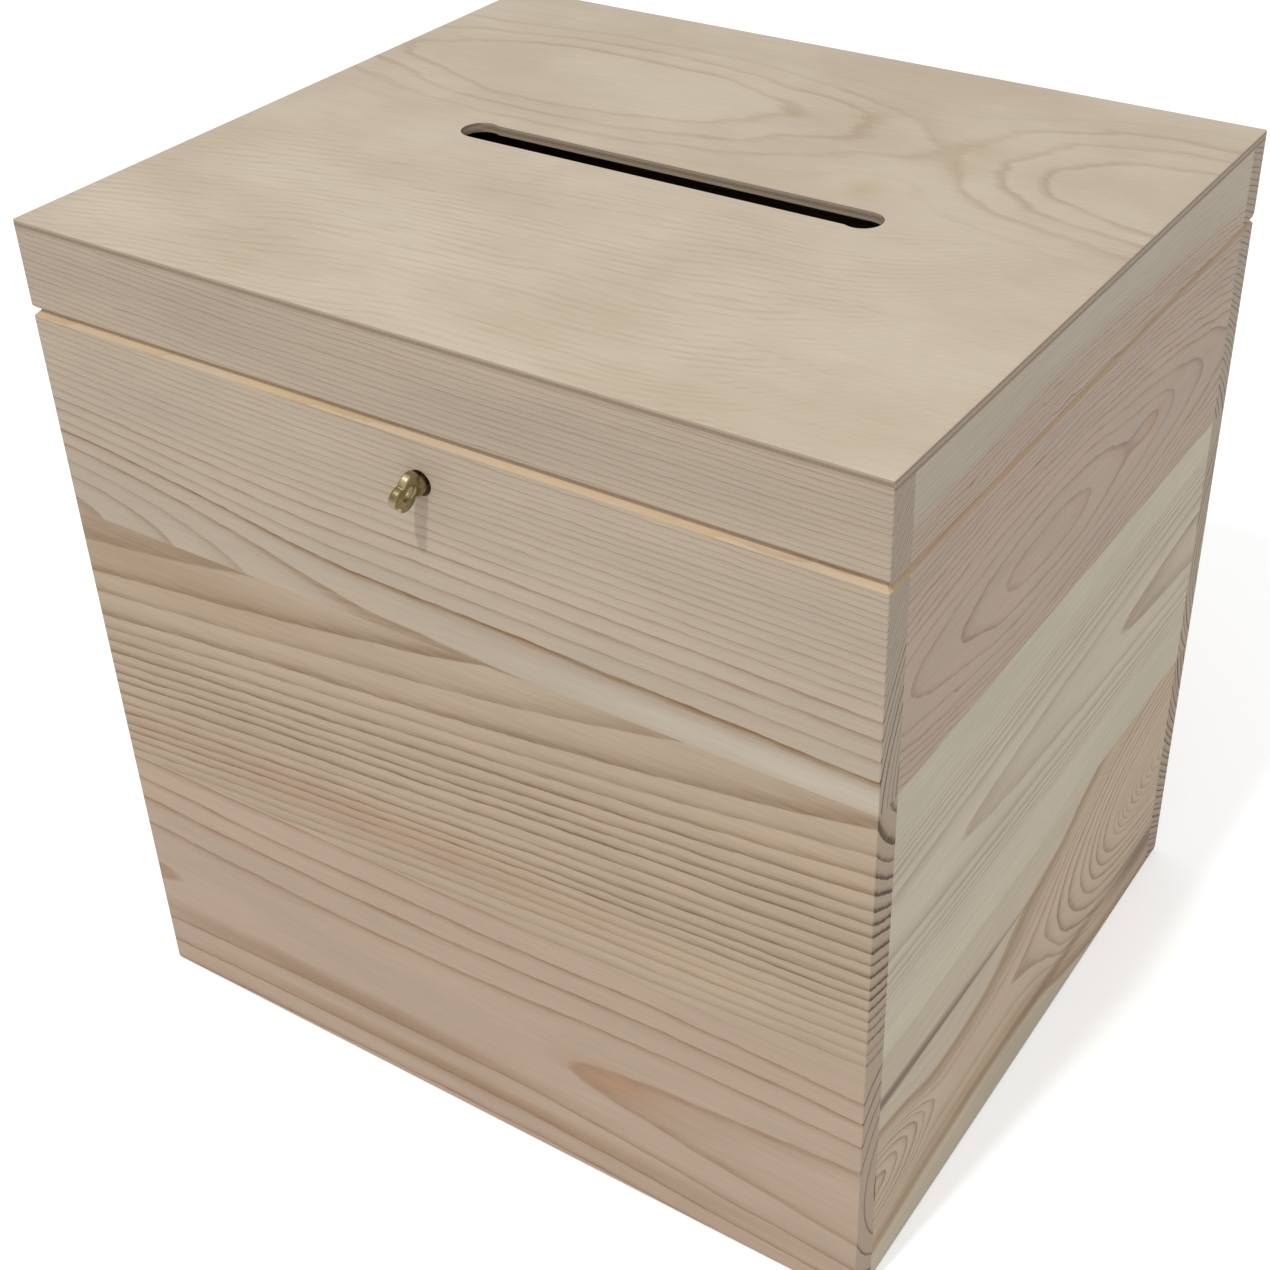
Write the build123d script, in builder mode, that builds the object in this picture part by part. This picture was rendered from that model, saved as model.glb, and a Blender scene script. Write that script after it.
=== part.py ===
from build123d import *
import os

# Envelope box: a glued pine box with a hinged lid, a plywood top with an envelope slot,
# a rim lock behind the keyhole and two butt hinges on the back.
# The origin is the middle of the underside. +X is to the right of someone facing the keyhole,
# +Y runs from the keyhole to the hinges and +Z is up. Lengths are in millimetres.

os.makedirs("parts", exist_ok=True)

# Pine box
width = 290.0
depth = 250.0
box_height = 268.6
board = 10.5
boards_per_wall = 3
saw_kerf = 3.0
rim_bevel = 2.0
corner_round = 0.6
foot_round = 1.0

# Plywood base in its rebate
base_ply = 4.0
base_rebate = 5.0
panel_clearance = 0.1

# Lid
rail_height = 25.9
lid_gap = 0.3
lid_front_bevel = 1.5
lid_side_bevel = 0.4
lid_back_bevel = 2.0
top_ply = 3.0
top_round = 0.5

# Envelope slot: a sawn slot between two bored ends that drift off its centre line
slot_length = 151.0
slot_width = 12.0
slot_end_bore = 12.6
slot_end_drift = 0.4

# Fits and cuts
running_clearance = 0.05
layer_gap = 0.1
overrun = 1.0

# Countersunk wood screws
screw_radius = 1.1
screw_head_radius = 1.9
screw_length = 8.0
screw_point = 2.0
screw_slot_width = 0.5
screw_slot_depth = 0.35
screw_slot_angle = 35
pilot_clearance = 0.04

# Keyhole and key
keyhole_bore = 8.0
keyhole_offset = 2.0
stem_radius = 2.2
collar_radius = 3.0
collar_length = 1.8
collar_stand_off = 0.5
bit_width = 1.6
bit_reach = 3.5
bit_length = 2.4
bow_thickness = 2.6
lobe_radius = 3.4
lobe_offset = 3.2
bow_crotch_round = 0.5
bow_rim_round = 0.7
bow_piercing = 4.6
key_rest_turn = 16

# Rim lock: sheet case, base plate, plug with a crank pin, bolt and spring
lock_rim_gap = 0.7
lock_height = 30.0
lock_sheet = 1.0
lock_ear = 7.5
lock_ear_height = 22.0
lock_ear_round = 2.0
key_drop = 14.6
plug_radius = 4.5
plug_flange_radius = 6.0
plug_flange = 3.0
plug_web = 0.6
crank_radius = 3.0
crank_pin_radius = 1.0
bolt_thickness = 2.0
bolt_gap = 0.2
bolt_back_gap = 0.7
bolt_end_room = 4.0
yoke_wall = 2.5
nose_rise = 5.0
nose_height = 4.5
nose_rest_gap = 1.8
guide_thickness = 1.5
guide_reach = 8.0
spring_height = 1.5
spring_thickness = 0.4
spring_reach = 7.0

# Strike on the lid: a cranked sheet whose tongue has a notch for the bolt
strike_sheet = 1.4
strike_width = 26.0
strike_height = 16.0
strike_lift = 1.3
strike_round = 2.0
strike_screw_spread = 17.0
hook_near = 11.0
hook_spine = 2.5
hook_nib = 3.8
hook_side_room = 3.0
notch_clearance = 0.5

# Butt hinges
hinge_spread = 170.0
hinge_length = 30.0
leaf_height = 12.0
leaf_sheet = 1.0
leaf_round = 1.0
leaf_fold_gap = 0.4
knuckle_radius = 2.0
knuckle_gap = 0.2
knuckle_room = 0.3
pin_radius = 1.0
hinge_screw_spread = 17.0

# A crank moves by a sine and the bolt is taken to move evenly: the widest difference between
# them, as a share of the crank's radius, is the play that the bolt's yoke needs.
yoke_play_share = 0.211

# Places on the box and lid
half_width = width / 2
front_y = -depth / 2
back_y = depth / 2
front_inner_y = front_y + board
back_inner_y = back_y - board
side_inner_x = half_width - board
lid_bottom = box_height + lid_gap
rail_top = lid_bottom + rail_height
board_pitch = (box_height + saw_kerf + rail_height) / boards_per_wall

# Places in the lock, counted into the box from the front board's inner face
lock_top = box_height - lock_rim_gap
lock_low = lock_top - lock_height
key_x = keyhole_offset
key_z = lock_top - key_drop
plate_back_y = front_inner_y + lock_sheet
flange_front_y = plate_back_y + layer_gap
flange_back_y = flange_front_y + plug_flange
bolt_front_y = flange_back_y + bolt_gap
bolt_back_y = bolt_front_y + bolt_thickness
case_inner_y = bolt_back_y + bolt_back_gap
case_back_y = case_inner_y + lock_sheet
socket_back_y = flange_back_y - plug_web

# Outline of the bolt and the strike's tongue, counted from the key's axis
bolt_throw = 2 * crank_radius
yoke_half_width = crank_pin_radius + yoke_play_share * crank_radius + layer_gap
yoke_half_height = crank_radius + crank_pin_radius + layer_gap
bolt_right = crank_radius + yoke_half_width + yoke_wall
bolt_left = crank_radius - yoke_half_width - yoke_wall
bolt_low = -yoke_half_height - yoke_wall
nose_top = nose_rise + nose_height
nose_tip = -hook_near + nose_rest_gap
notch_depth = bolt_throw - nose_rest_gap + notch_clearance
hook_width = notch_depth + hook_spine
hook_far = -hook_near - hook_width
notch_low = nose_rise - notch_clearance
notch_top = nose_top + notch_clearance
hook_foot = notch_low - hook_nib
case_left = key_x + hook_far - hook_side_room - lock_sheet
case_right = key_x + bolt_right + bolt_end_room + lock_sheet
hook_x = key_x - hook_near - hook_width / 2
hook_front_y = bolt_front_y + (bolt_thickness - strike_sheet) / 2
hook_back_y = hook_front_y + strike_sheet
strike_low = lid_bottom + strike_lift

# Places of the hinges
hinge_axis_y = back_y + leaf_sheet + leaf_fold_gap / 2
hinge_axis_z = box_height + lid_gap / 2
leaf_near = knuckle_radius + knuckle_room
leaf_screw_reach = (leaf_near + leaf_height) / 2


def save(piece, name):
    """Label a finished piece and write it under its own name."""
    piece.label = name
    export_step(piece, f"parts/{name}.step")


def block(x_low, x_high, y_low, y_high, z_low, z_high):
    """A straight-sided block between two corners."""
    with BuildPart() as body:
        with BuildSketch(Plane(((x_low + x_high) / 2, (y_low + y_high) / 2, z_low))):
            Rectangle(x_high - x_low, y_high - y_low)
        extrude(amount=z_high - z_low)
    return body.part


def facing_front(x, y, z):
    """A plane whose sketch is seen from the front, and which extrudes towards the front."""
    return Plane(origin=(x, y, z), x_dir=(1, 0, 0), z_dir=(0, -1, 0))


def facing_right(x, y, z):
    """A plane whose sketch is seen from the right, with +Y to its right, and which extrudes along +X."""
    return Plane(origin=(x, y, z), x_dir=(0, 1, 0), z_dir=(1, 0, 0))


def lock_plane(y):
    """The front-facing plane at depth y, centred on the key's axis."""
    return facing_front(key_x, y, key_z)


def screws(places, head_y):
    """Slotted countersunk screws driven towards the front, their heads flush with the plane at head_y."""
    cone = screw_head_radius - screw_radius
    with BuildPart() as group:
        for x, z in places:
            with BuildSketch(Plane(origin=(x, head_y, z), x_dir=(1, 0, 0), z_dir=(0, 0, 1))):
                with BuildLine():
                    Polyline(
                        (0, 0),
                        (screw_head_radius, 0),
                        (screw_radius, -cone),
                        (screw_radius, screw_point - screw_length),
                        (0, -screw_length),
                        close=True,
                    )
                make_face()
            revolve(axis=Axis((x, head_y, z), (0, 1, 0)))
            with BuildSketch(facing_front(x, head_y, z)):
                Rectangle(2 * screw_head_radius, screw_slot_width, rotation=screw_slot_angle)
            extrude(amount=screw_slot_depth, mode=Mode.SUBTRACT)
    return group.part


def screw_seats(places, head_y):
    """The countersunk holes that the same screws sit in, cut from plates and boards."""
    bore = screw_radius + pilot_clearance
    cone = screw_head_radius - bore
    with BuildPart() as group:
        for x, z in places:
            with BuildSketch(Plane(origin=(x, head_y, z), x_dir=(1, 0, 0), z_dir=(0, 0, 1))):
                with BuildLine():
                    Polyline(
                        (0, 0),
                        (screw_head_radius, 0),
                        (bore, -cone),
                        (bore, -screw_length),
                        (0, -screw_length),
                        close=True,
                    )
                make_face()
            revolve(axis=Axis((x, head_y, z), (0, 1, 0)))
    return group.part


# The seam's bevels: wedges that are cut along the box's rim and along the lid's lower edges
def bevel_wedge(plane, reach, edge, level, size, up):
    """A wedge on both sides of plane that bevels the edge at that level, below it if up is 1 and above it if -1."""
    out = 1 if edge > 0 else -1
    with BuildPart() as wedge:
        with BuildSketch(plane):
            with BuildLine():
                Polyline(
                    (edge + out * overrun, level - up * (size + overrun)),
                    (edge + out * overrun, level + up * overrun),
                    (edge - out * (size + overrun), level + up * overrun),
                    close=True,
                )
            make_face()
        extrude(amount=reach + overrun, both=True)
    return wedge.part


def seam_wedges(level, front_size, side_size, back_size, up):
    """The four wedges round the box's rim or the lid's lower edge."""
    along_x = facing_right(0, 0, 0)
    along_y = facing_front(0, 0, 0)
    return [
        bevel_wedge(along_x, half_width, front_y, level, front_size, up),
        bevel_wedge(along_x, half_width, back_y, level, back_size, up),
        bevel_wedge(along_y, back_y, -half_width, level, side_size, up),
        bevel_wedge(along_y, back_y, half_width, level, side_size, up),
    ]


# The sanded outside of the glued box and of its lid, which every board shares
with BuildPart() as box_form:
    with BuildSketch():
        RectangleRounded(width, depth, corner_round)
    extrude(amount=box_height)
    fillet(box_form.faces().sort_by(Axis.Z)[0].edges(), radius=foot_round)
    add(seam_wedges(box_height, rim_bevel, rim_bevel, rim_bevel, 1), mode=Mode.SUBTRACT)

with BuildPart() as lid_form:
    with BuildSketch(Plane.XY.offset(lid_bottom)):
        RectangleRounded(width, depth, corner_round)
    extrude(amount=rail_height)
    add(
        seam_wedges(lid_bottom, lid_front_bevel, lid_side_bevel, lid_back_bevel, -1),
        mode=Mode.SUBTRACT,
    )

# Plan of the four walls: front and back run the full width and cover the ends of the sides
wall_plans = {
    "front": (-half_width, half_width, front_y, front_inner_y),
    "back": (-half_width, half_width, back_inner_y, back_y),
    "left": (-half_width, -side_inner_x, front_inner_y, back_inner_y),
    "right": (side_inner_x, half_width, front_inner_y, back_inner_y),
}
board_levels = {
    "lower": (0, board_pitch),
    "middle": (board_pitch, 2 * board_pitch),
    "upper": (2 * board_pitch, box_height),
}

# Screw places as (x, z)
ear_x = (case_left - lock_ear / 2, case_right + lock_ear / 2)
ear_z = (lock_top + lock_low) / 2
lock_screw_places = [(x, ear_z + side * lock_ear_height / 4) for x in ear_x for side in (-1, 1)]
strike_screw_places = [
    (hook_x + side * strike_screw_spread / 2, strike_low + strike_height / 2) for side in (-1, 1)
]
hinge_x = (-hinge_spread / 2, hinge_spread / 2)
hinge_screw_x = [x + side * hinge_screw_spread / 2 for x in hinge_x for side in (-1, 1)]
box_leaf_screw_places = [(x, hinge_axis_z - leaf_screw_reach) for x in hinge_screw_x]
lid_leaf_screw_places = [(x, hinge_axis_z + leaf_screw_reach) for x in hinge_screw_x]
leaf_face_y = back_y + leaf_sheet
ear_face_y = front_inner_y + lock_sheet
strike_face_y = front_inner_y + strike_sheet

lock_seats = screw_seats(lock_screw_places, ear_face_y)
strike_seats = screw_seats(strike_screw_places, strike_face_y)
box_leaf_seats = screw_seats(box_leaf_screw_places, leaf_face_y)
lid_leaf_seats = screw_seats(lid_leaf_screw_places, leaf_face_y)

# The room for the base panel, cut from the lowest board of each wall
rebate_room = block(
    -side_inner_x - base_rebate,
    side_inner_x + base_rebate,
    front_inner_y - base_rebate,
    back_inner_y + base_rebate,
    0,
    base_ply,
)

# Keyhole through the front board
with BuildPart() as keyhole:
    with BuildSketch(lock_plane(front_inner_y + overrun)):
        Circle(keyhole_bore / 2)
    extrude(amount=board + 2 * overrun)

# Box boards
board_cuts = {
    "front_upper_board": [keyhole.part, lock_seats],
    "back_upper_board": [box_leaf_seats],
    "front_lower_board": [rebate_room],
    "back_lower_board": [rebate_room],
    "left_lower_board": [rebate_room],
    "right_lower_board": [rebate_room],
}
for side, (x_low, x_high, y_low, y_high) in wall_plans.items():
    for level, (z_low, z_high) in board_levels.items():
        name = f"{side}_{level}_board"
        stock = block(x_low, x_high, y_low, y_high, z_low, z_high)
        with BuildPart() as wall_board:
            add(stock)
            add(box_form.part, mode=Mode.INTERSECT)
            for cut in board_cuts.get(name, []):
                add(cut, mode=Mode.SUBTRACT)
        save(wall_board.part, name)

# Base panel, flush with the boards' lower edges
with BuildPart() as base_panel:
    with BuildSketch():
        Rectangle(
            2 * (side_inner_x + base_rebate - panel_clearance),
            back_inner_y - front_inner_y + 2 * (base_rebate - panel_clearance),
        )
    extrude(amount=base_ply)
save(base_panel.part, "base_panel")

# Lid rails
rail_cuts = {"front": [strike_seats], "back": [lid_leaf_seats]}
for side, (x_low, x_high, y_low, y_high) in wall_plans.items():
    stock = block(x_low, x_high, y_low, y_high, lid_bottom, rail_top)
    with BuildPart() as lid_rail:
        add(stock)
        add(lid_form.part, mode=Mode.INTERSECT)
        for cut in rail_cuts.get(side, []):
            add(cut, mode=Mode.SUBTRACT)
    save(lid_rail.part, f"lid_{side}_rail")

# Lid top: thin plywood with the envelope slot
slot_end_x = (slot_length - slot_end_bore) / 2
with BuildPart() as lid_top_panel:
    with BuildSketch(Plane.XY.offset(rail_top)):
        RectangleRounded(width, depth, corner_round)
    extrude(amount=top_ply)
    fillet(lid_top_panel.faces().sort_by(Axis.Z)[-1].edges(), radius=top_round)
    with BuildSketch(Plane.XY.offset(rail_top)):
        Rectangle(2 * slot_end_x, slot_width)
        with Locations((-slot_end_x, slot_end_drift), (slot_end_x, -slot_end_drift)):
            Circle(slot_end_bore / 2)
    extrude(amount=top_ply, mode=Mode.SUBTRACT)
save(lid_top_panel.part, "lid_top_panel")

# Lock case: a pan that is open towards the front board, with an ear at each end
case_mid_x = (case_left + case_right) / 2
case_mid_z = (lock_low + lock_top) / 2
case_width = case_right - case_left
with BuildPart() as lock_case:
    with BuildSketch(facing_front(case_mid_x, case_back_y, case_mid_z)):
        Rectangle(case_width, lock_height)
    extrude(amount=case_back_y - front_inner_y)
    fillet(lock_case.faces().sort_by(Axis.Y)[-1].edges(), radius=lock_sheet)
    with BuildSketch(facing_front(case_mid_x, ear_face_y, case_mid_z)):
        RectangleRounded(case_width + 2 * lock_ear, lock_ear_height, lock_ear_round)
    extrude(amount=lock_sheet)
    with BuildSketch(facing_front(case_mid_x, case_inner_y, case_mid_z)):
        Rectangle(case_width - 2 * lock_sheet, lock_height - 2 * lock_sheet)
    extrude(amount=case_inner_y - front_inner_y, mode=Mode.SUBTRACT)
    with BuildSketch(lock_plane(case_inner_y)):
        with Locations((0, nose_top + layer_gap)):
            Rectangle(2 * guide_reach, guide_thickness, align=(Align.CENTER, Align.MIN))
        with Locations((0, bolt_low - layer_gap - spring_height)):
            Rectangle(2 * guide_reach, guide_thickness, align=(Align.CENTER, Align.MAX))
    extrude(amount=case_inner_y - bolt_front_y)
    with BuildSketch(Plane((hook_x, (hook_front_y + case_inner_y) / 2, lock_top))):
        with Locations((0, -notch_clearance)):
            Rectangle(hook_width + 2 * notch_clearance, case_inner_y - hook_front_y + notch_clearance)
    extrude(amount=-lock_sheet, mode=Mode.SUBTRACT)
    add(lock_seats, mode=Mode.SUBTRACT)
save(lock_case.part, "lock_case")

# Lock base plate, against the wood, with the plug's bearing
with BuildPart() as lock_base_plate:
    with BuildSketch(facing_front(case_mid_x, plate_back_y, case_mid_z)):
        Rectangle(
            case_width - 2 * (lock_sheet + panel_clearance),
            lock_height - 2 * (lock_sheet + panel_clearance),
        )
    extrude(amount=lock_sheet)
    with BuildSketch(lock_plane(plate_back_y)):
        Circle(plug_radius + running_clearance)
    extrude(amount=lock_sheet, mode=Mode.SUBTRACT)
save(lock_base_plate.part, "lock_base_plate")

# Plug: turns with the key and carries the crank pin. At rest the pin is on the right
with BuildPart() as lock_plug:
    with BuildSketch(lock_plane(flange_front_y)):
        Circle(plug_radius)
    extrude(amount=lock_sheet)
    with BuildSketch(lock_plane(flange_back_y)):
        Circle(plug_flange_radius)
    extrude(amount=plug_flange)
    with BuildSketch(lock_plane(bolt_back_y)):
        with Locations((crank_radius, 0)):
            Circle(crank_pin_radius)
    extrude(amount=bolt_back_y - flange_back_y)
    with BuildSketch(lock_plane(socket_back_y)):
        Circle(stem_radius + running_clearance)
        Rectangle(
            bit_width + 2 * running_clearance,
            bit_reach + running_clearance,
            rotation=-key_rest_turn,
            align=(Align.CENTER, Align.MAX),
        )
    extrude(amount=socket_back_y - front_inner_y, mode=Mode.SUBTRACT)
save(lock_plug.part, "lock_plug")

# Bolt: a sheet with an upright yoke for the crank pin and a nose that enters the strike's notch
with BuildPart() as lock_bolt:
    with BuildSketch(lock_plane(bolt_back_y)):
        with BuildLine():
            Polyline(
                (bolt_left, bolt_low),
                (bolt_right, bolt_low),
                (bolt_right, nose_top),
                (nose_tip, nose_top),
                (nose_tip, nose_rise),
                (bolt_left, nose_rise),
                close=True,
            )
        make_face()
        with Locations((crank_radius, 0)):
            Rectangle(2 * yoke_half_width, 2 * yoke_half_height, mode=Mode.SUBTRACT)
    extrude(amount=bolt_thickness)
save(lock_bolt.part, "lock_bolt")

# Bow spring between the case's lower guide and the bolt, which stops the bolt rattling
spring_foot = bolt_low - layer_gap - spring_height
spring_crown = spring_foot + spring_height
with BuildPart() as lock_spring:
    with BuildSketch(lock_plane(bolt_back_y)):
        with BuildLine():
            ThreePointArc((-spring_reach, spring_foot), (0, spring_crown), (spring_reach, spring_foot))
            Line((spring_reach, spring_foot), (spring_reach - spring_thickness, spring_foot))
            ThreePointArc(
                (spring_reach - spring_thickness, spring_foot),
                (0, spring_crown - spring_thickness),
                (-spring_reach + spring_thickness, spring_foot),
            )
            Line((-spring_reach + spring_thickness, spring_foot), (-spring_reach, spring_foot))
        make_face()
    extrude(amount=bolt_thickness)
save(lock_spring.part, "lock_spring")

save(screws(lock_screw_places, ear_face_y), "lock_screws")

# Strike: a plate on the lid's front rail, a step inwards and a tongue that drops into the case
with BuildPart() as lock_strike:
    with BuildSketch(facing_front(hook_x, strike_face_y, strike_low + strike_height / 2)):
        RectangleRounded(strike_width, strike_height, strike_round)
    extrude(amount=strike_sheet)
    with BuildSketch(facing_front(hook_x, hook_back_y, strike_low)):
        Rectangle(hook_width, strike_sheet, align=(Align.CENTER, Align.MIN))
    extrude(amount=hook_back_y - front_inner_y)
    with BuildSketch(facing_front(hook_x, hook_back_y, key_z + hook_foot)):
        Rectangle(
            hook_width,
            strike_low + strike_sheet - key_z - hook_foot,
            align=(Align.CENTER, Align.MIN),
        )
    extrude(amount=strike_sheet)
    with BuildSketch(lock_plane(hook_back_y)):
        with Locations((-hook_near, notch_low)):
            Rectangle(notch_depth, notch_top - notch_low, align=(Align.MAX, Align.MIN))
    extrude(amount=strike_sheet, mode=Mode.SUBTRACT)
    add(strike_seats, mode=Mode.SUBTRACT)
save(lock_strike.part, "lock_strike")

save(screws(strike_screw_places, strike_face_y), "strike_screws")

# Key: trefoil bow, collar, round stem and a short bit, in one casting. At rest it stands a little clockwise
bow_back_y = front_y - collar_stand_off - collar_length
bow_y = bow_back_y - lobe_offset
key_tip_y = socket_back_y - layer_gap
with BuildPart() as key:
    with BuildSketch(facing_right(key_x - bow_thickness / 2, bow_y, key_z)) as bow:
        Circle(lobe_offset)
        with Locations((-lobe_offset, 0), (0, lobe_offset), (0, -lobe_offset)):
            Circle(lobe_radius)
        with Locations((lobe_offset, 0)):
            Rectangle(lobe_offset, 2 * stem_radius)
        fillet(bow.vertices(), radius=bow_crotch_round)
        Circle(bow_piercing / 2, mode=Mode.SUBTRACT)
    extrude(amount=bow_thickness)
    fillet(key.edges().filter_by(GeomType.CIRCLE), radius=bow_rim_round)
    with BuildSketch(lock_plane(front_y - collar_stand_off)):
        Circle(collar_radius)
    extrude(amount=collar_length)
    with BuildSketch(lock_plane(key_tip_y)):
        Circle(stem_radius)
    extrude(amount=key_tip_y - bow_back_y)
    with BuildSketch(lock_plane(key_tip_y - layer_gap)):
        Rectangle(bit_width, bit_reach, align=(Align.CENTER, Align.MAX))
    extrude(amount=bit_length)
save(key.part.rotate(Axis((key_x, 0, key_z), (0, 1, 0)), key_rest_turn), "key")

# Butt hinges: the box leaf has the two outer knuckles, the lid leaf the middle one
knuckle_pitch = hinge_length / 3
box_knuckles = (-knuckle_pitch, knuckle_pitch)
lid_knuckles = (0,)
for side, x in zip(("left", "right"), hinge_x):
    for part_name, knuckles, up, seats in (
        ("box", box_knuckles, -1, box_leaf_seats),
        ("lid", lid_knuckles, 1, lid_leaf_seats),
    ):
        with BuildPart() as leaf:
            with BuildSketch(facing_front(x, leaf_face_y, hinge_axis_z + up * leaf_screw_reach)):
                RectangleRounded(hinge_length, leaf_height - leaf_near, leaf_round)
            extrude(amount=leaf_sheet)
            for place in knuckles:
                start = x + place - (knuckle_pitch - knuckle_gap) / 2
                with BuildSketch(facing_right(start, hinge_axis_y, hinge_axis_z)):
                    Circle(knuckle_radius)
                    with Locations((back_y - hinge_axis_y, 0)):
                        Rectangle(
                            leaf_sheet,
                            leaf_screw_reach,
                            align=(Align.MIN, Align.MIN if up > 0 else Align.MAX),
                        )
                extrude(amount=knuckle_pitch - knuckle_gap)
            with BuildSketch(facing_right(x - hinge_length / 2, hinge_axis_y, hinge_axis_z)):
                Circle(pin_radius + running_clearance)
            extrude(amount=hinge_length, mode=Mode.SUBTRACT)
            add(seats, mode=Mode.SUBTRACT)
        save(leaf.part, f"{side}_hinge_{part_name}_leaf")
    with BuildPart() as hinge_pin:
        with BuildSketch(facing_right(x - hinge_length / 2, hinge_axis_y, hinge_axis_z)):
            Circle(pin_radius)
        extrude(amount=hinge_length)
    save(hinge_pin.part, f"{side}_hinge_pin")

save(screws(box_leaf_screw_places, leaf_face_y), "hinge_box_screws")
save(screws(lid_leaf_screw_places, leaf_face_y), "hinge_lid_screws")
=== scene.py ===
from math import radians, sin

import bmesh
import bpy
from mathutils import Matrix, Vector

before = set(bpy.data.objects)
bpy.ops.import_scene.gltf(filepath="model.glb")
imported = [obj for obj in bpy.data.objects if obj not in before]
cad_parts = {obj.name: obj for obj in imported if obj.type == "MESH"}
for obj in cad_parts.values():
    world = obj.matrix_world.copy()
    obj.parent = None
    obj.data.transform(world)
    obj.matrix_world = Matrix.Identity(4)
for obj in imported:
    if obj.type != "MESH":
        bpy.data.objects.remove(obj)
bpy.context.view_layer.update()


# Front wall: three sanded pine boards glued edge to edge, each sawn from its own log.
# Every finish follows that log: rings round a heart line that runs along the board, so
# that the face, the edges and the end grain at the corner all belong to one piece of wood.
def node(finish, kind, feeds=(), **settings):
    """A shader node with its settings, each socket fed by a value or by another node's socket."""
    made = finish.node_tree.nodes.new("ShaderNode" + kind)
    for setting, value in settings.items():
        setattr(made, setting, value)
    for socket, value in dict(feeds).items():
        if isinstance(value, bpy.types.NodeSocket):
            finish.node_tree.links.new(value, made.inputs[socket])
        else:
            made.inputs[socket].default_value = value
    return made


def reckon(finish, operation, *values):
    return node(finish, "Math", dict(enumerate(values)), operation=operation).outputs[0]


def product(finish, first, *others):
    for other in others:
        first = reckon(finish, "MULTIPLY", first, other)
    return first


def remap(finish, value, span, levels, kind="SMOOTHSTEP"):
    feeds = dict(enumerate((value, *span, *levels)))
    return node(finish, "MapRange", feeds, interpolation_type=kind).outputs[0]


mm_per_metre = 1000


def begin_finish(name, turn=0, setback=0):
    """A new finish, its shader, and the place on the piece in mm, its wall turned to the front."""
    finish = bpy.data.materials.new(name)
    finish.use_nodes = True
    skin = finish.node_tree.nodes["Principled BSDF"]
    feeds = {
        "Vector": node(finish, "TexCoord").outputs["Object"],
        "Location": (0, setback, 0),
        "Rotation": (0, 0, radians(turn)),
        "Scale": (mm_per_metre, mm_per_metre, mm_per_metre),
    }
    return finish, skin, node(finish, "Mapping", feeds).outputs[0]


def facing(finish):
    """The way that the surface faces, as three parts along the box's own axes."""
    return node(finish, "SeparateXYZ", {0: node(finish, "TexCoord").outputs["Normal"]}).outputs


def end_finish(finish, skin, colour, roughness, relief, strength, distance):
    """Feeds the shader, with the relief as a bump."""
    bump = node(finish, "Bump", {"Strength": strength, "Distance": distance, "Height": relief})
    for socket, value in (("Base Color", colour), ("Roughness", roughness), ("Normal", bump.outputs[0])):
        finish.node_tree.links.new(value, skin.inputs[socket])


def noises(finish, place, seed, **kinds):
    """One noise for each kind: its patches in mm along, through and up the wood, own seed and detail."""
    made = {}
    for kind, (sizes, own_seed, detail) in kinds.items():
        start = seed + own_seed
        feeds = {"Vector": place, "Location": (start, start, start), "Scale": [1 / size for size in sizes]}
        stretch = node(finish, "Mapping", feeds).outputs[0]
        feeds = {"Vector": stretch, "Scale": 1.0, "Detail": detail}
        made[kind] = node(finish, "TexNoise", feeds).outputs[0]
    return made


noise_middle = 0.5


def stray(finish, value, noise, swing):
    """The value, led up and down by a noise, by half the swing at most."""
    return reckon(finish, "MULTIPLY_ADD", reckon(finish, "SUBTRACT", noise, noise_middle), swing, value)


def mix_tones(finish, share, under, over, way="MIX"):
    """Over laid on under. Sockets 6 and 7 and output 2 are the colours of the Mix node."""
    feeds = {0: share, 6: under, 7: over}
    return node(finish, "Mix", feeds, data_type="RGBA", blend_type=way).outputs[2]


def tint(finish, colour, noise, span, levels):
    return mix_tones(finish, 1.0, colour, remap(finish, noise, span, levels), "MULTIPLY")


def tone(*parts):
    """A colour as a screen shows it, red, green and blue in parts of 255."""
    most, toe, toe_slope, lift, power = 255, 0.04045, 12.92, 0.055, 2.4
    linear = []
    for part in parts:
        share = part / most
        linear.append(share / toe_slope if share <= toe else ((share + lift) / (1 + lift)) ** power)
    return (*linear, 1.0)


def profile(finish, value, stops):
    """A grey level by (place, level) stops."""
    ramp = node(finish, "ValToRGB", {0: value})
    points = ramp.color_ramp.elements
    for_now = 0.5
    while len(points) < len(stops):
        points.new(for_now)
    for point, (place, level) in zip(points, stops):
        point.position = place
        point.color = (level, level, level, 1.0)
    return ramp.outputs[0]


def dress(finish, *pieces):
    for piece in pieces:
        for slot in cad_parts[piece].material_slots:
            slot.material = finish


rising = (0.0, 1.0)
falling = (1.0, 0.0)


def swell(finish, place, middle, reach, rise):
    """A soft dome: rise at its middle, and nothing beyond its reach."""
    feeds = {"Vector": place, "Location": middle, "Scale": reach}
    inside = node(finish, "Mapping", feeds, vector_type="TEXTURE").outputs[0]
    dome = node(finish, "TexGradient", {0: inside}, gradient_type="SPHERICAL").outputs[1]
    return remap(finish, dome, rising, (0.0, rise))


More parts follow.
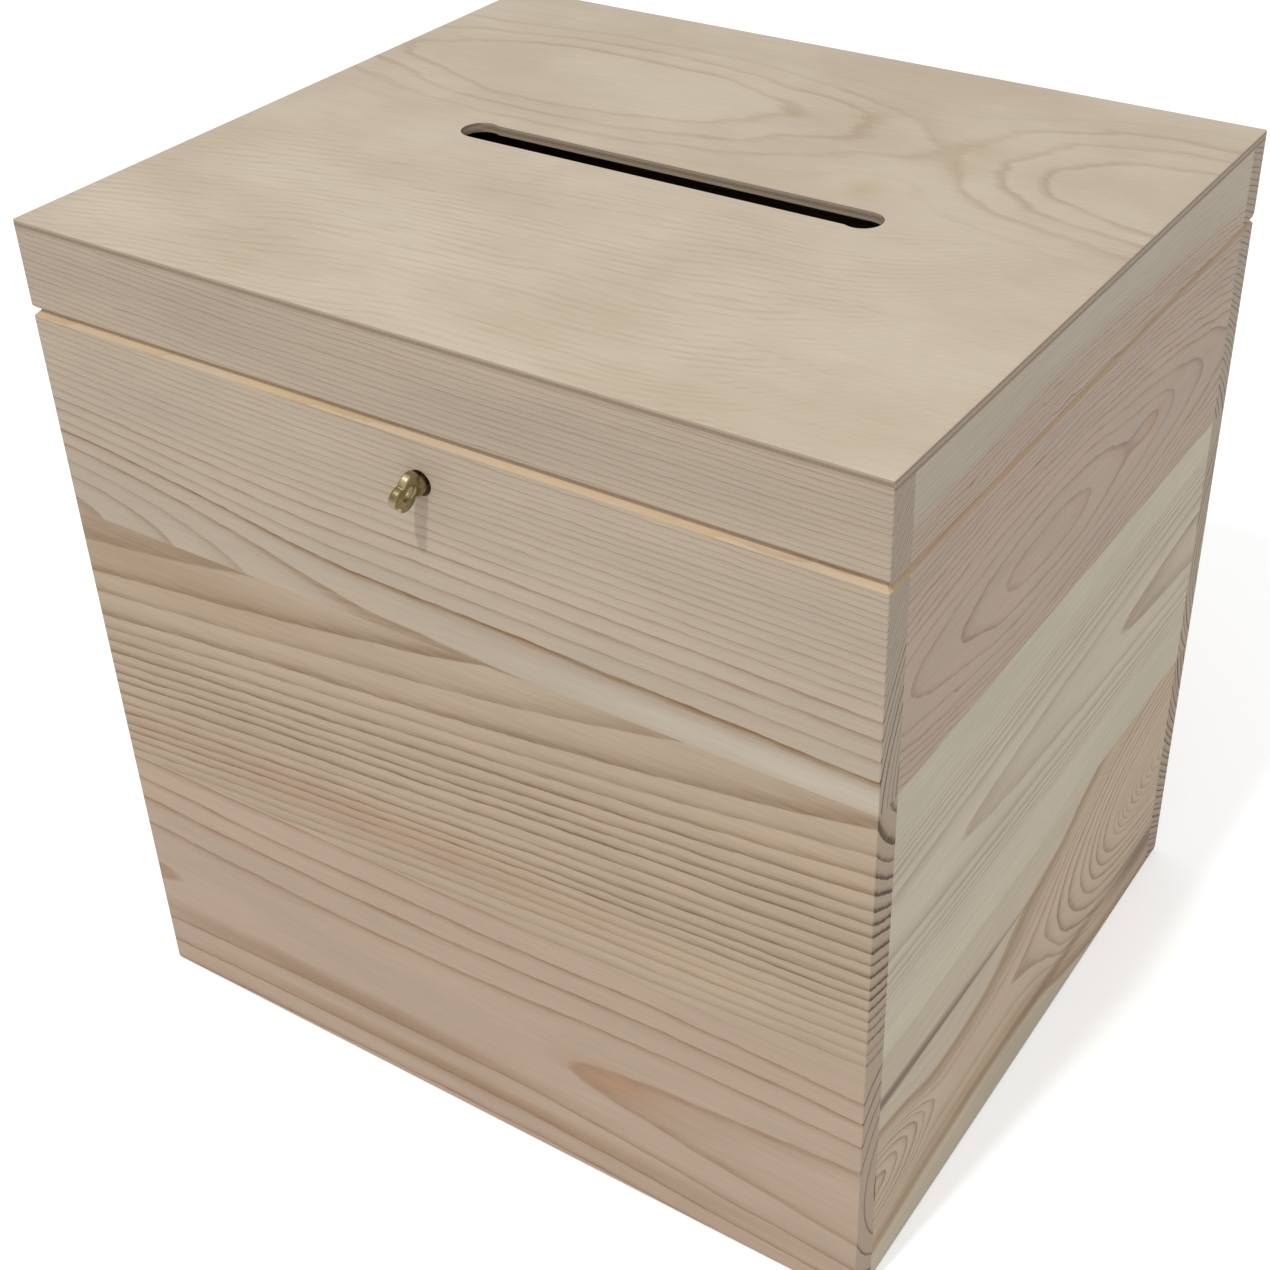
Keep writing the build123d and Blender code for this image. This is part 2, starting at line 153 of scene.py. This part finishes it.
def lay(finish, value, stations, bend="AUTO"):
    """A curve through (place, level) stations: smooth with AUTO, straight between stations with VECTOR."""
    places, levels = zip(*stations)
    first, length = places[0], places[-1] - places[0]
    low, height = min(levels), max(levels) - min(levels)
    share = remap(finish, value, (first, first + length), rising, "LINEAR")
    curve = node(finish, "FloatCurve", {"Value": share})
    points = curve.mapping.curves[0].points
    spots = [((place - first) / length, (level - low) / height) for place, level in stations]
    points[0].location, points[-1].location = spots[0], spots[-1]
    for spot in spots[1:-1]:
        points.new(*spot)
    for point in points:
        point.handle_type = bend
    curve.mapping.update()
    return remap(finish, curve.outputs[0], rising, (low, low + height), "LINEAR")


def evenly(reach, levels):
    """Stations from -reach to reach, one for each level."""
    step = 2 * reach / (len(levels) - 1)
    return [(-reach + step * count, level) for count, level in enumerate(levels)]


def years(first, inner, outer, last, sway=0.25):
    """Radii at which the years end: inner wide at first, outer wide later, none quite like the next."""
    settled, beat = 8, 2.4
    ends = [first]
    while ends[-1] < last:
        count = len(ends)
        width = inner + (outer - inner) * min(count / settled, 1)
        ends.append(ends[-1] + width * (1 + sway * sin(beat * count)))
    return ends


crisp_line = ((0.0, 0.0), (0.5, 0.03), (0.76, 0.28), (0.91, 0.92), (0.97, 1.0), (1.0, 0.0))
broad_band = ((0.0, 0.0), (0.35, 0.05), (0.66, 0.32), (0.87, 0.86), (0.96, 1.0), (1.0, 0.0))
hair_line = ((0.0, 0.0), (0.64, 0.03), (0.84, 0.3), (0.94, 0.95), (0.98, 1.0), (1.0, 0.0))
half_width, half_depth = 145, 125
mid_noise, wide_noise, outer_noise = (0.3, 0.7), (0.25, 0.75), (0.2, 0.8)


def pine_board(
    name,
    wall,
    heart,
    depth,
    ring_ends,
    tones,
    vigour=((20, 0.8), (140, 0.81)),
    season=crisp_line,
    sap_from=500.0,
    sap_fade=3.0,
    dark_rim=None,
    swells=(),
    marks=(),
    lean=((0, 0.0), (300, 0.01)),
    wobble=0.8,
    waver=0.5,
    seed=0.0,
):
    """The finish of one board. Sizes in mm: u to the right along the wall, w into it, v up.

    heart and depth: height of the log's heart line along u, and how far it lies in front of the face
    ring_ends: radii at which the years end; season: how a year darkens; vigour: strength by radius
    tones: early wood, late wood and sapwood; sapwood starts at sap_from, behind a dark rim if there is one
    swells: (middle, extent, rise) bumps of the radius; marks: (middle, extent, tone, share) patches laid on
    the colour: stains in the wood, and painted shade where a mark stands in for shade
    lean: tilt of the rings through the board, by height; wobble and waver: long and short bends
    """
    turn, setback, reach = {
        "front": (0, half_depth, half_width),
        "right": (-90, half_width, half_depth),
        "back": (180, half_depth, half_width),
        "left": (90, half_width, half_depth),
    }[wall]
    finish, skin, place = begin_finish(name, turn, setback)
    u, w, v = node(finish, "SeparateXYZ", {0: place}).outputs
    early, late, sap = tones
    noise = noises(
        finish,
        place,
        seed,
        slow=((75, 22, 18), 0, 2.0),
        drift=((24, 6, 5), 1, 2.0),
        quick=((8, 1.8, 1.8), 3, 3.0),
        broken=((16, 1.2, 1.2), 13, 2.0),
        fibre=((22, 0.45, 0.45), 5, 3.0),
        cloud=((90, 25, 20), 9, 3.0),
        sawn=((45, 8, 8), 21, 2.0),
    )
    fibre = noise["fibre"]

    # Distance from the heart line
    shiver = 0.9
    tilt = product(finish, lay(finish, v, lean), -1.0)
    level = reckon(finish, "MULTIPLY_ADD", w, tilt, v)
    for bend, swing in (("slow", 2 * wobble), ("drift", 2 * waver), ("quick", shiver)):
        level = stray(finish, level, noise[bend], swing)
    up = reckon(finish, "SUBTRACT", level, lay(finish, u, evenly(reach, heart)))
    inward = reckon(finish, "ADD", w, lay(finish, u, evenly(reach, depth)))
    arm = node(finish, "CombineXYZ", {0: up, 1: inward}).outputs[0]
    radius = node(finish, "VectorMath", {0: arm}, operation="LENGTH").outputs[1]
    for middle, extent, rise in swells:
        radius = reckon(finish, "ADD", radius, swell(finish, place, middle, extent, rise))

    # Late wood of each year
    year_seed, year_scale, year_strengths = seed + 17, 0.7, (0.6, 1.0)
    sapwood_strengths, patch_strengths = (1.0, 0.3), (0.74, 1.1)
    age = lay(finish, radius, [(end, count) for count, end in enumerate(ring_ends)], "VECTOR")
    line = profile(finish, reckon(finish, "FRACT", age), season)
    year = reckon(finish, "ADD", reckon(finish, "FLOOR", age), year_seed)
    feeds = {"W": year, "Scale": year_scale, "Detail": 1.0}
    weather = node(finish, "TexNoise", feeds, noise_dimensions="1D").outputs[0]
    good_year = remap(finish, weather, mid_noise, year_strengths)
    sapwood = remap(finish, radius, (sap_from, sap_from + sap_fade), rising)
    quiet = remap(finish, sapwood, rising, sapwood_strengths)
    broken = remap(finish, noise["broken"], mid_noise, patch_strengths)
    strength = product(finish, lay(finish, radius, vigour, "VECTOR"), quiet, broken)
    latewood = product(finish, line, good_year, strength)

    # Colours of the face
    rim_width, fibre_tints, cloud_tints = 7, (0.94, 1.045), (0.95, 1.04)
    wood = mix_tones(finish, sapwood, early, sap)
    if dark_rim:
        rim_tone, rim_share = dark_rim
        rim = remap(finish, radius, (sap_from - rim_width, sap_from), (0.0, rim_share))
        rim = product(finish, rim, remap(finish, sapwood, rising, falling))
        wood = mix_tones(finish, rim, wood, rim_tone)
    wood = mix_tones(finish, latewood, wood, late)
    # Marks: stains in the wood, and on the upper front board a broad band of painted shade
    for middle, extent, stain, share in marks:
        wood = mix_tones(finish, swell(finish, place, middle, extent, share), wood, stain)
    wood = tint(finish, wood, fibre, wide_noise, fibre_tints)
    wood = tint(finish, wood, noise["cloud"], wide_noise, cloud_tints)

    # End grain, and the freshly sawn upper edges
    early_dimmed, late_dimmed, fresh_tone = 0.86, 0.46, tone(204, 172, 130)
    endways, upwards, dense = (0.6, 0.85), (0.4, 0.65), (0.02, 0.6)
    normal = facing(finish)
    along = normal[0] if wall in ("front", "back") else normal[1]
    end_grain = remap(finish, reckon(finish, "ABSOLUTE", along), endways, rising)
    pale_end = [early_dimmed * part for part in early[:3]] + [1.0]
    dark_end = [late_dimmed * part for part in late[:3]] + [1.0]
    pores = remap(finish, latewood, dense, rising)
    wood = mix_tones(finish, end_grain, wood, mix_tones(finish, pores, pale_end, dark_end))
    fresh_cut = product(finish, remap(finish, normal[2], upwards, rising), noise["sawn"])
    wood = mix_tones(finish, fresh_cut, wood, fresh_tone)

    # Sanded surface, on which the late wood stands a little proud
    line_height, gloss = 0.6, (0.72, 0.58)
    relief = reckon(finish, "MULTIPLY_ADD", latewood, line_height, fibre)
    roughness = remap(finish, fibre, outer_noise, gloss)
    end_finish(finish, skin, wood, roughness, relief, strength=0.22, distance=0.0003)
    skin.inputs["Specular IOR Level"].default_value = 0.28
    return finish


front_upper = pine_board(
    "pine_front_upper",
    "front",
    heart=(198.5, 196.4, 194.8, 194.1, 193.8, 193.5, 193.2),
    depth=(-48.4, -48.7, -49.0, -49.3, -49.7, -50.1, -50.6),
    ring_ends=[38.6, 41.6, 43.8, 46.4, 49.8, 53.2, 55.6, 58.8, 62.0, 64.8, 66.8, 69.4]
    + years(71.6, 1.9, 1.6, 120, 0.12),
    tones=(tone(182, 167, 148), tone(134, 103, 69), tone(186, 176, 158)),
    vigour=[(38, 0.65), (49.8, 0.7), (51.5, 1.2), (53.3, 1.5), (53.6, 0.9)]
    + [(62, 0.72), (66, 0.54), (88, 0.54), (120, 0.62)],
    swells=[((-159, 0, 196), (142, 60, 64), -7.6)],
    marks=[
        ((125, 0, 203), (150, 20, 7), tone(196, 188, 172), 0.55),
        # Painted shade: a faint darker band across the lid's front rail and the top of the wall just below
        # it
        ((0, 0, 285), (900, 60, 26), tone(138, 122, 108), 0.22),
    ],
    lean=((193, 0.5), (298, 0.7)),
    seed=2,
)
front_middle = pine_board(
    "pine_front_middle",
    "front",
    heart=(196.6, 201.2, 205.4, 208.7, 211.1, 212.5, 213.5),
    depth=(-45.8, -46.1, -46.8, -48.2, -50.5, -53.5, -56.8),
    ring_ends=[39.0, 43.0, 46.8, 50.4, 54.6, 60.0, 63.6, 67.4, 71.0, 74.6, 77.8, 80.8]
    + [85.2, 88.8, 92.4, 96.2, 99.2, 102.8, 106.4, 109.8, 113.6, 118.0, 122.0],
    tones=(tone(183, 163, 140), tone(120, 92, 64), tone(184, 169, 147)),
    vigour=((39, 0.7), (60, 0.8), (80, 0.98), (104, 0.98), (110, 0.55), (122, 0.5)),
    season=broad_band,
    marks=[
        ((-115, 0, 186), (120, 20, 18), tone(150, 120, 90), 0.3),
        ((-40, 0, 116), (150, 20, 14), tone(172, 134, 112), 0.3),
    ],
    lean=((98, 0.35), (150, 0.4), (196, 0.75)),
    seed=3.4,
)
front_lower = pine_board(
    "pine_front_lower",
    "front",
    heart=(44.2, 44.4, 44.9, 45.6, 46.0, 45.2, 44.0),
    depth=(-44.2, -45.1, -45.6, -45.5, -44.1, -42.7, -41.0),
    ring_ends=[25.0, 31.5, 38.0, 44.5, 50.1, 56.4, 62.5, 70.0, 77.0],
    tones=(tone(182, 161, 141), tone(140, 103, 72), tone(184, 168, 148)),
    vigour=((38, 0.75), (44.6, 0.75), (50, 0.95), (77, 0.8)),
    season=hair_line,
    marks=[
        ((-60, 0, 27.5), (150, 20, 7.5), tone(138, 104, 72), 0.5),
        ((0, 0, 14), (180, 20, 6), tone(146, 112, 78), 0.5),
        ((58, 0, 48), (34, 20, 9), tone(178, 134, 98), 0.5),
    ],
    wobble=1.4,
    seed=5.2,
)
dress(front_upper, "front_upper_board")
dress(front_middle, "front_middle_board")
dress(front_lower, "front_lower_board")


# Right wall: three more boards of the same pine, glued between the front and back walls.
# They were cut nearer the bark, so that they show ovals, long flames and a curly swirl.
right_upper = pine_board(
    "pine_right_upper",
    "right",
    heart=(229.4, 228.4, 228.6, 228.0),
    depth=(49.4, 46.6, 45.1, 46.6, 48.9, 52.0),
    ring_ends=[44.4, 45.6, 46.9, 48.4, 50.0, 51.7, 52.7, 53.9, 55.3, 56.5, 57.5, 58.6, 60.1]
    + years(61.7, 1.3, 1.25, 88, 0.15),
    tones=(tone(183, 163, 146), tone(128, 101, 82), tone(186, 175, 157)),
    vigour=((44, 0.55), (47, 0.6), (52, 0.9), (66, 1.0), (88, 0.8)),
    season=hair_line,
    wobble=1.7,
    waver=1.5,
    sap_from=66,
    sap_fade=9.0,
    swells=[((51, 0, 230.5), (24, 30, 10), -1.1)],
    marks=[((52, 0, 230), (14, 12, 5), tone(186, 142, 104), 0.4)],
    seed=4.1,
)
right_middle = pine_board(
    "pine_right_middle",
    "right",
    heart=(149.4, 151.4, 153.3),
    depth=(53.5, 51.6, 49.6),
    ring_ends=[48.4, 50.9, 52.7, 54.7, 56.2, 57.4, 58.5, 59.5]
    + years(60.6, 1.2, 1.4, 80, 0.15),
    tones=(tone(198, 186, 166), tone(140, 114, 90), tone(197, 187, 166)),
    vigour=((48, 1.0), (51, 1.0), (51.6, 0.55), (53.2, 0.55), (54, 0.8), (58, 0.65), (80, 0.5)),
    season=broad_band,
    sap_from=58.5,
    wobble=0.5,
    seed=6.3,
)
right_lower = pine_board(
    "pine_right_lower",
    "right",
    heart=(41.3, 50.0, 58.8),
    depth=(50.5, 50.6, 50.6, 50.4, 49.0, 40.0, 27.0, 17.0, 10.0),
    ring_ends=years(4, 1.0, 1.3, 25)
    + [28.7, 31.2, 34.2, 37.6, 41.5, 45.3, 47.9, 50.2, 52.6, 55.0, 57.5]
    + years(60, 2.4, 2.2, 92),
    tones=(tone(193, 173, 149), tone(124, 96, 66), tone(192, 179, 157)),
    vigour=((4, 0.5), (30, 0.7), (38, 0.85), (49, 0.85), (51, 0.4), (58, 0.35), (92, 0.6)),
    season=broad_band,
    sap_from=58.0,
    sap_fade=1.5,
    dark_rim=(tone(146, 118, 86), 0.6),
    swells=[
        ((-116, 0, 44), (46, 40, 29), -18.0),
        ((-66, 0, 68), (78, 40, 25), 7.5),
    ],
    marks=[
        ((-125, 0, 79.8), (120, 14, 4.2), tone(112, 96, 80), 1.0),
        ((-75, 0, 78.4), (110, 14, 2.0), tone(118, 100, 82), 0.9),
        ((15, 0, 19), (95, 20, 5.5), tone(122, 98, 66), 0.6),
        ((106, 0, 15), (52, 20, 10), tone(104, 84, 64), 0.7),
    ],
    wobble=2.2,
    seed=7.7,
)
dress(right_upper, "right_upper_board")
dress(right_middle, "right_middle_board")
dress(right_lower, "right_lower_board")


# Back and left walls: the same stock, glued up in the same way, from boards whose
# growth lines run straighter. They are not in sight from the front corner.
back_upper = pine_board(
    "pine_back_upper",
    "back",
    heart=(177, 180, 183),
    depth=(-47, -46, -44),
    ring_ends=years(42, 3.2, 2.0, 130),
    tones=(tone(181, 165, 146), tone(136, 112, 88), tone(184, 173, 155)),
    vigour=((42, 0.75), (130, 0.6)),
    seed=11.5,
)
back_middle = pine_board(
    "pine_back_middle",
    "back",
    heart=(142, 139, 141),
    depth=(46.5, 48.6, 45.5),
    ring_ends=years(42, 2.6, 3.0, 76),
    tones=(tone(182, 167, 146), tone(136, 108, 82), tone(183, 171, 151)),
    sap_from=68,
    wobble=1.3,
    seed=12.8,
)
back_lower = pine_board(
    "pine_back_lower",
    "back",
    heart=(114, 118, 121),
    depth=(52, 51, 52.5),
    ring_ends=years(46, 3.0, 2.6, 140),
    tones=(tone(179, 160, 139), tone(134, 105, 78), tone(184, 168, 148)),
    season=broad_band,
    seed=13.1,
)
left_upper = pine_board(
    "pine_left_upper",
    "left",
    heart=(251, 249, 250),
    depth=(42, 44.5, 49),
    ring_ends=years(38, 2.4, 1.9, 80),
    tones=(tone(179, 162, 143), tone(136, 110, 88), tone(183, 172, 154)),
    sap_from=72,
    seed=14.9,
)
left_middle = pine_board(
    "pine_left_middle",
    "left",
    heart=(90, 95, 100),
    depth=(-50, -49.5, -51),
    ring_ends=years(34, 3.4, 2.6, 122),
    tones=(tone(182, 164, 141), tone(132, 104, 76), tone(184, 170, 150)),
    season=broad_band,
    seed=15.3,
)
left_lower = pine_board(
    "pine_left_lower",
    "left",
    heart=(53, 51, 52),
    depth=(38.5, 42.3, 41),
    ring_ends=years(34, 3.8, 3.0, 76),
    tones=(tone(177, 158, 138), tone(138, 108, 82), tone(181, 168, 148)),
    sap_from=60,
    wobble=1.3,
    seed=16.6,
)
dress(back_upper, "back_upper_board")
dress(back_middle, "back_middle_board")
dress(back_lower, "back_lower_board")
dress(left_upper, "left_upper_board")
dress(left_middle, "left_middle_board")
dress(left_lower, "left_lower_board")


# Base: one sheet of birch plywood, glued into a rebate, flush with the boards' lower edges.
# Its faces are peeled veneer: the upper one has wide soft contours, and the lower is plainer.
# The core ply runs across them, which shows wherever such a sheet is cut.
def birch_plywood(name, under, thickness, ovals, smudges, seed):
    """The finish of a sheet that lies at the height under. Sizes in mm.

    ovals: (middle, reach) of the bumps that the veneer was peeled through; smudges: (middle, reach, share)
    """
    finish, skin, place = begin_finish(name)
    along, across, height = node(finish, "SeparateXYZ", {0: place}).outputs
    right_through = 900
    noise = noises(
        finish,
        place,
        seed,
        sway=((70, 32, right_through), 0, 2.0),
        ripple=((10, 2.5, right_through), 1, 1.0),
        patchy=((45, 30, right_through), 6, 2.0),
        broken=((34, 4.0, right_through), 15, 2.0),
        fibre=((14, 0.5, 0.5), 4, 3.0),
        flecks=((9, 0.6, 4), 8, 1.0),
        cloud=((60, 45, 60), 12, 3.0),
        pores=((0.8, 0.8, 0.3), 2, 2.0),
    )
    fibre = noise["fibre"]

    # Contours round the ovals
    far_off, melt, first_line, lines_per_reach = 40.0, 0.45, 0.97, 2.7
    fade_in, fade_out, patch_from, patch_strengths = (0.9, first_line), (1.4, 2.4), (0.35, 0.6), (0.6, 1.0)
    thin_line = ((0.0, 1.0), (0.08, 0.8), (0.25, 0.1), (0.85, 0.0), (1.0, 1.0))
    roll = far_off
    for middle, reach in ovals:
        feeds = {"Vector": place, "Location": middle, "Scale": reach}
        inside = node(finish, "Mapping", feeds, vector_type="TEXTURE").outputs[0]
        distance = node(finish, "VectorMath", {0: inside}, operation="LENGTH").outputs[1]
        roll = reckon(finish, "SMOOTH_MIN", roll, distance, melt)
    for bend, swing in (("sway", 0.7), ("ripple", 0.1)):
        roll = stray(finish, roll, noise[bend], swing)
    turns = product(finish, reckon(finish, "SUBTRACT", roll, first_line), lines_per_reach)
    contour = product(
        finish,
        profile(finish, reckon(finish, "FRACT", turns), thin_line),
        remap(finish, roll, fade_in, rising),
        remap(finish, roll, fade_out, falling),
        remap(finish, noise["patchy"], patch_from, patch_strengths),
    )

    # Long lines in front of the ovals, fanning out to the left and climbing to the right
    fan = ((-150, -30), (-70, -10), (0, 0), (60, 3), (90, 12), (115, 30), (150, 62))
    spacing, swing, lines_end, right_fade = 3.4, 16.0, (-22.0, 4.0), (80.0, 120.0)
    break_from, break_strengths, right_strengths = (0.38, 0.62), (0.1, 1.0), (1.0, 0.3)
    soft_line = ((0.0, 0.0), (0.4, 0.0), (0.75, 1.0), (1.0, 0.0))
    front = stray(finish, reckon(finish, "SUBTRACT", across, lay(finish, along, fan)), noise["sway"], swing)
    wisps = product(
        finish,
        profile(finish, reckon(finish, "FRACT", reckon(finish, "DIVIDE", front, spacing)), soft_line),
        remap(finish, front, lines_end, falling),
        remap(finish, noise["broken"], break_from, break_strengths),
        remap(finish, along, right_fade, right_strengths),
    )

    # Colours of the two faces, the upper one with the better veneer
    turnover, side_strengths, fleck_from, fibre_tints = 0.3, (0.1, 1.0), (0.6, 0.74), (0.965, 1.025)
    contour_share, wisp_share, fleck_share = 0.52, 0.3, 0.1
    middle_ply = under + thickness / 2
    better_side = remap(finish, height, (middle_ply - turnover, middle_ply + turnover), side_strengths)
    flecks = remap(finish, noise["flecks"], fleck_from, rising)
    cloud = remap(finish, noise["cloud"], mid_noise, rising)
    wood = mix_tones(finish, cloud, tone(180, 165, 144), tone(190, 177, 157))
    contour = product(finish, contour, better_side, contour_share)
    wood = mix_tones(finish, contour, wood, tone(152, 131, 106))
    wisps = product(finish, wisps, better_side, wisp_share)
    wood = mix_tones(finish, wisps, wood, tone(152, 132, 108))
    wood = mix_tones(finish, product(finish, flecks, fleck_share), wood, tone(156, 136, 112))
    for middle, reach, share in smudges:
        smudge = product(finish, swell(finish, place, middle, reach, share), better_side)
        wood = mix_tones(finish, smudge, wood, tone(166, 143, 110))
    wood = tint(finish, wood, fibre, wide_noise, fibre_tints)

    # Plies on the edges: the core runs across the two faces
    upright, to_the_side, core_from, core_to = (0.35, 0.65), (0.4, 0.7), (0.31, 0.35), (0.66, 0.7)
    normal = facing(finish)
    edge = remap(finish, reckon(finish, "ABSOLUTE", normal[2]), upright, falling)
    sideways = remap(finish, reckon(finish, "ABSOLUTE", normal[0]), to_the_side, rising)
    layer = reckon(finish, "DIVIDE", reckon(finish, "SUBTRACT", height, under), thickness)
    core = product(finish, remap(finish, layer, core_from, rising), remap(finish, layer, core_to, falling))
    cut_across = mix_tones(finish, noise["pores"], tone(122, 104, 86), tone(156, 138, 118))
    cut_along = mix_tones(finish, fibre, tone(150, 134, 116), tone(176, 160, 140))
    front_edge = mix_tones(finish, core, cut_along, cut_across)
    side_edge = mix_tones(finish, core, cut_across, cut_along)
    wood = mix_tones(finish, edge, wood, mix_tones(finish, sideways, front_edge, side_edge))

    # Sanded surface, in which the flecks lie a little deep
    fleck_height, gloss = -0.5, (0.68, 0.55)
    relief = reckon(finish, "MULTIPLY_ADD", flecks, fleck_height, fibre)
    roughness = remap(finish, fibre, outer_noise, gloss)
    end_finish(finish, skin, wood, roughness, relief, strength=0.15, distance=0.0002)
    skin.inputs["Specular IOR Level"].default_value = 0.3
    return finish


base_birch = birch_plywood(
    "birch_base",
    under=0.0,
    thickness=4.0,
    ovals=[((30, -20, 2), (90, 30, 400))],
    smudges=[],
    seed=21.0,
)
dress(base_birch, "base_panel")


# Lid frame: four pine rails, sawn off the top of the walls after the box was glued,
# so that the growth lines of the upper boards run on across the saw cut.
# The front rail also carries the upper front board's band of painted shade.
dress(front_upper, "lid_front_rail")
dress(right_upper, "lid_right_rail")
dress(back_upper, "lid_back_rail")
dress(left_upper, "lid_left_rail")


# Lid top: birch plywood glued on the rails, with the envelope slot milled through it.
# Long ovals lie behind the slot, and flatter lines with short flecks in front of it.
top_birch = birch_plywood(
    "birch_lid_top",
    under=294.8,
    thickness=3.0,
    ovals=[
        ((-62, 57, 297), (72, 24, 400)),
        ((147, 57, 297), (44, 27, 400)),
    ],
    smudges=[
        ((75, 66, 297), (16, 12, 50), 0.35),
        ((78, 46, 297), (10, 14, 50), 0.3),
        ((59, 19, 297), (10, 12, 50), 0.4),
        ((34, 72, 297), (9, 14, 50), 0.3),
        ((10, 63, 297), (7, 7, 50), 0.3),
    ],
    seed=23.0,
)
dress(top_birch, "lid_top_panel")


# Rim lock: a pressed brass case with a plate behind it, screwed to the inside of the front.
# The plug that the key turns is brass too, while the plate, bolt and spring are bright steel.
def worked_metal(name, bright, dull, tarnish, gloss, seed):
    """The finish of a metal piece. tarnish: how far the dull tone spreads; gloss: roughness range."""
    finish, skin, place = begin_finish(name)
    noise = noises(
        finish,
        place,
        seed,
        stain=((9, 9, 9), 0, 2.0),
        specks=((0.9, 0.9, 0.9), 3, 3.0),
        scuffs=((6, 0.25, 0.25), 6, 2.0),
    )
    all_dull, scuff_height, speck_tints = 0.75, 0.5, (0.86, 1.06)
    stained = remap(finish, noise["stain"], (noise_middle - tarnish, all_dull), rising)
    metal = mix_tones(finish, stained, bright, dull)
    metal = tint(finish, metal, noise["specks"], mid_noise, speck_tints)
    relief = reckon(finish, "MULTIPLY_ADD", noise["scuffs"], scuff_height, noise["specks"])
    roughness = remap(finish, noise["stain"], mid_noise, gloss)
    end_finish(finish, skin, metal, roughness, relief, strength=0.12, distance=0.0001)
    skin.inputs["Metallic"].default_value = 1.0
    return finish


satin_brass = worked_metal(
    "satin_brass",
    bright=tone(208, 180, 122),
    dull=tone(180, 148, 94),
    tarnish=0.05,
    gloss=(0.32, 0.46),
    seed=31.0,
)
bright_steel = worked_metal(
    "bright_steel",
    bright=tone(200, 200, 202),
    dull=tone(150, 150, 152),
    tarnish=0.0,
    gloss=(0.22, 0.36),
    seed=33.0,
)
dress(satin_brass, "lock_case", "lock_plug", "lock_screws")
dress(bright_steel, "lock_base_plate", "lock_bolt", "lock_spring")


# Strike: a plate of sheet brass, stepped inwards, with a notched tongue for the lock's bolt.
# Two screws hold it to the inside of the lid's front rail.
dress(satin_brass, "lock_strike", "strike_screws")


# Hinges: two brass butt hinges at the back, each with two leaves whose knuckles turn on a pin.
# Two countersunk screws hold each leaf to the back wall or to the lid's back rail.
for side in ("left", "right"):
    dress(satin_brass, f"{side}_hinge_box_leaf", f"{side}_hinge_lid_leaf", f"{side}_hinge_pin")
dress(satin_brass, "hinge_box_screws", "hinge_lid_screws")


# Key: cast brass with a pierced trefoil bow, gone a dull olive with handling.
# Its stem goes through the plain bored keyhole and sits in the lock's plug.
aged_brass = worked_metal(
    "aged_brass",
    bright=tone(178, 165, 128),
    dull=tone(112, 98, 68),
    tarnish=0.12,
    gloss=(0.24, 0.4),
    seed=35.0,
)
dress(aged_brass, "key")


# Floor: one wide pale sheet that the box stands on, which keeps its soft shadow.
# The camera and mirror-like metal see it a little brighter than the light makes it.
def in_sight(finish):
    """1 for the rays that the camera sees, straight or by way of metal or glass, and else 0."""
    rays = node(finish, "LightPath").outputs
    seen = reckon(finish, "MAXIMUM", rays["Is Camera Ray"], rays["Is Glossy Ray"])
    return reckon(finish, "MAXIMUM", seen, rays["Is Transmission Ray"])


floor_reach, floor_drop, floor_glow = 4.0, 0.0003, 0.4
floor_form = bmesh.new()
bmesh.ops.create_grid(floor_form, x_segments=1, y_segments=1, size=floor_reach)
bmesh.ops.translate(floor_form, verts=floor_form.verts, vec=(0, 0, -floor_drop))
floor_mesh = bpy.data.meshes.new("floor")
floor_form.to_mesh(floor_mesh)
floor_form.free()
floor = bpy.data.objects.new("floor", floor_mesh)
bpy.context.scene.collection.objects.link(floor)
paper = bpy.data.materials.new("floor_paper")
paper.use_nodes = True
sheet = paper.node_tree.nodes["Principled BSDF"]
sheet.inputs["Base Color"].default_value = (0.8, 0.8, 0.8, 1)
sheet.inputs["Roughness"].default_value = 0.9
sheet.inputs["Emission Color"].default_value = (1, 1, 1, 1)
glow = remap(paper, in_sight(paper), rising, (0.0, floor_glow), "LINEAR")
paper.node_tree.links.new(glow, sheet.inputs["Emission Strength"])
floor_mesh.materials.append(paper)


# Light: a bright even room, and one soft lamp high up in front and a little to the right,
# which draws the short shadow under the key. The camera sees the room as plain white.
room_level, white_level = 0.75, 1.0
room = bpy.data.worlds.new("room")
room.use_nodes = True
bpy.context.scene.world = room
sky = room.node_tree.nodes["Background"]
sky.inputs["Color"].default_value = (1, 1, 1, 1)
sky_level = remap(room, in_sight(room), rising, (room_level, white_level), "LINEAR")
room.node_tree.links.new(sky_level, sky.inputs["Strength"])

lamp_data = bpy.data.lights.new("soft_lamp", "AREA")
lamp_data.shape = "DISK"
lamp_data.size = 0.05
lamp_data.energy = 6.5
lamp = bpy.data.objects.new("soft_lamp", lamp_data)
lamp_distance = 1.3
box_middle = Vector((0, 0, 0.15))
lamp_way = Vector((0.05, -0.53, 0.85)).normalized()
lamp.location = box_middle + lamp_way * lamp_distance
lamp.rotation_euler = lamp_way.to_track_quat("Z", "Y").to_euler()
bpy.context.scene.collection.objects.link(lamp)


# Camera: above the front right corner, at the photograph's viewing angle, with a lens to match.
# A small shift sets the box in the frame as the photograph has it.
eye = bpy.data.cameras.new("camera")
eye.sensor_width = 36.0
eye.lens = 55.76
eye.shift_x = -0.0425
eye.shift_y = -0.0137
camera = bpy.data.objects.new("camera", eye)
camera.location = (0.3146, -0.4702, 0.5263)
camera.rotation_euler = (radians(55.236), radians(0.949), radians(32.563))
bpy.context.scene.collection.objects.link(camera)
bpy.context.scene.camera = camera
bpy.context.scene.view_settings.view_transform = "Standard"
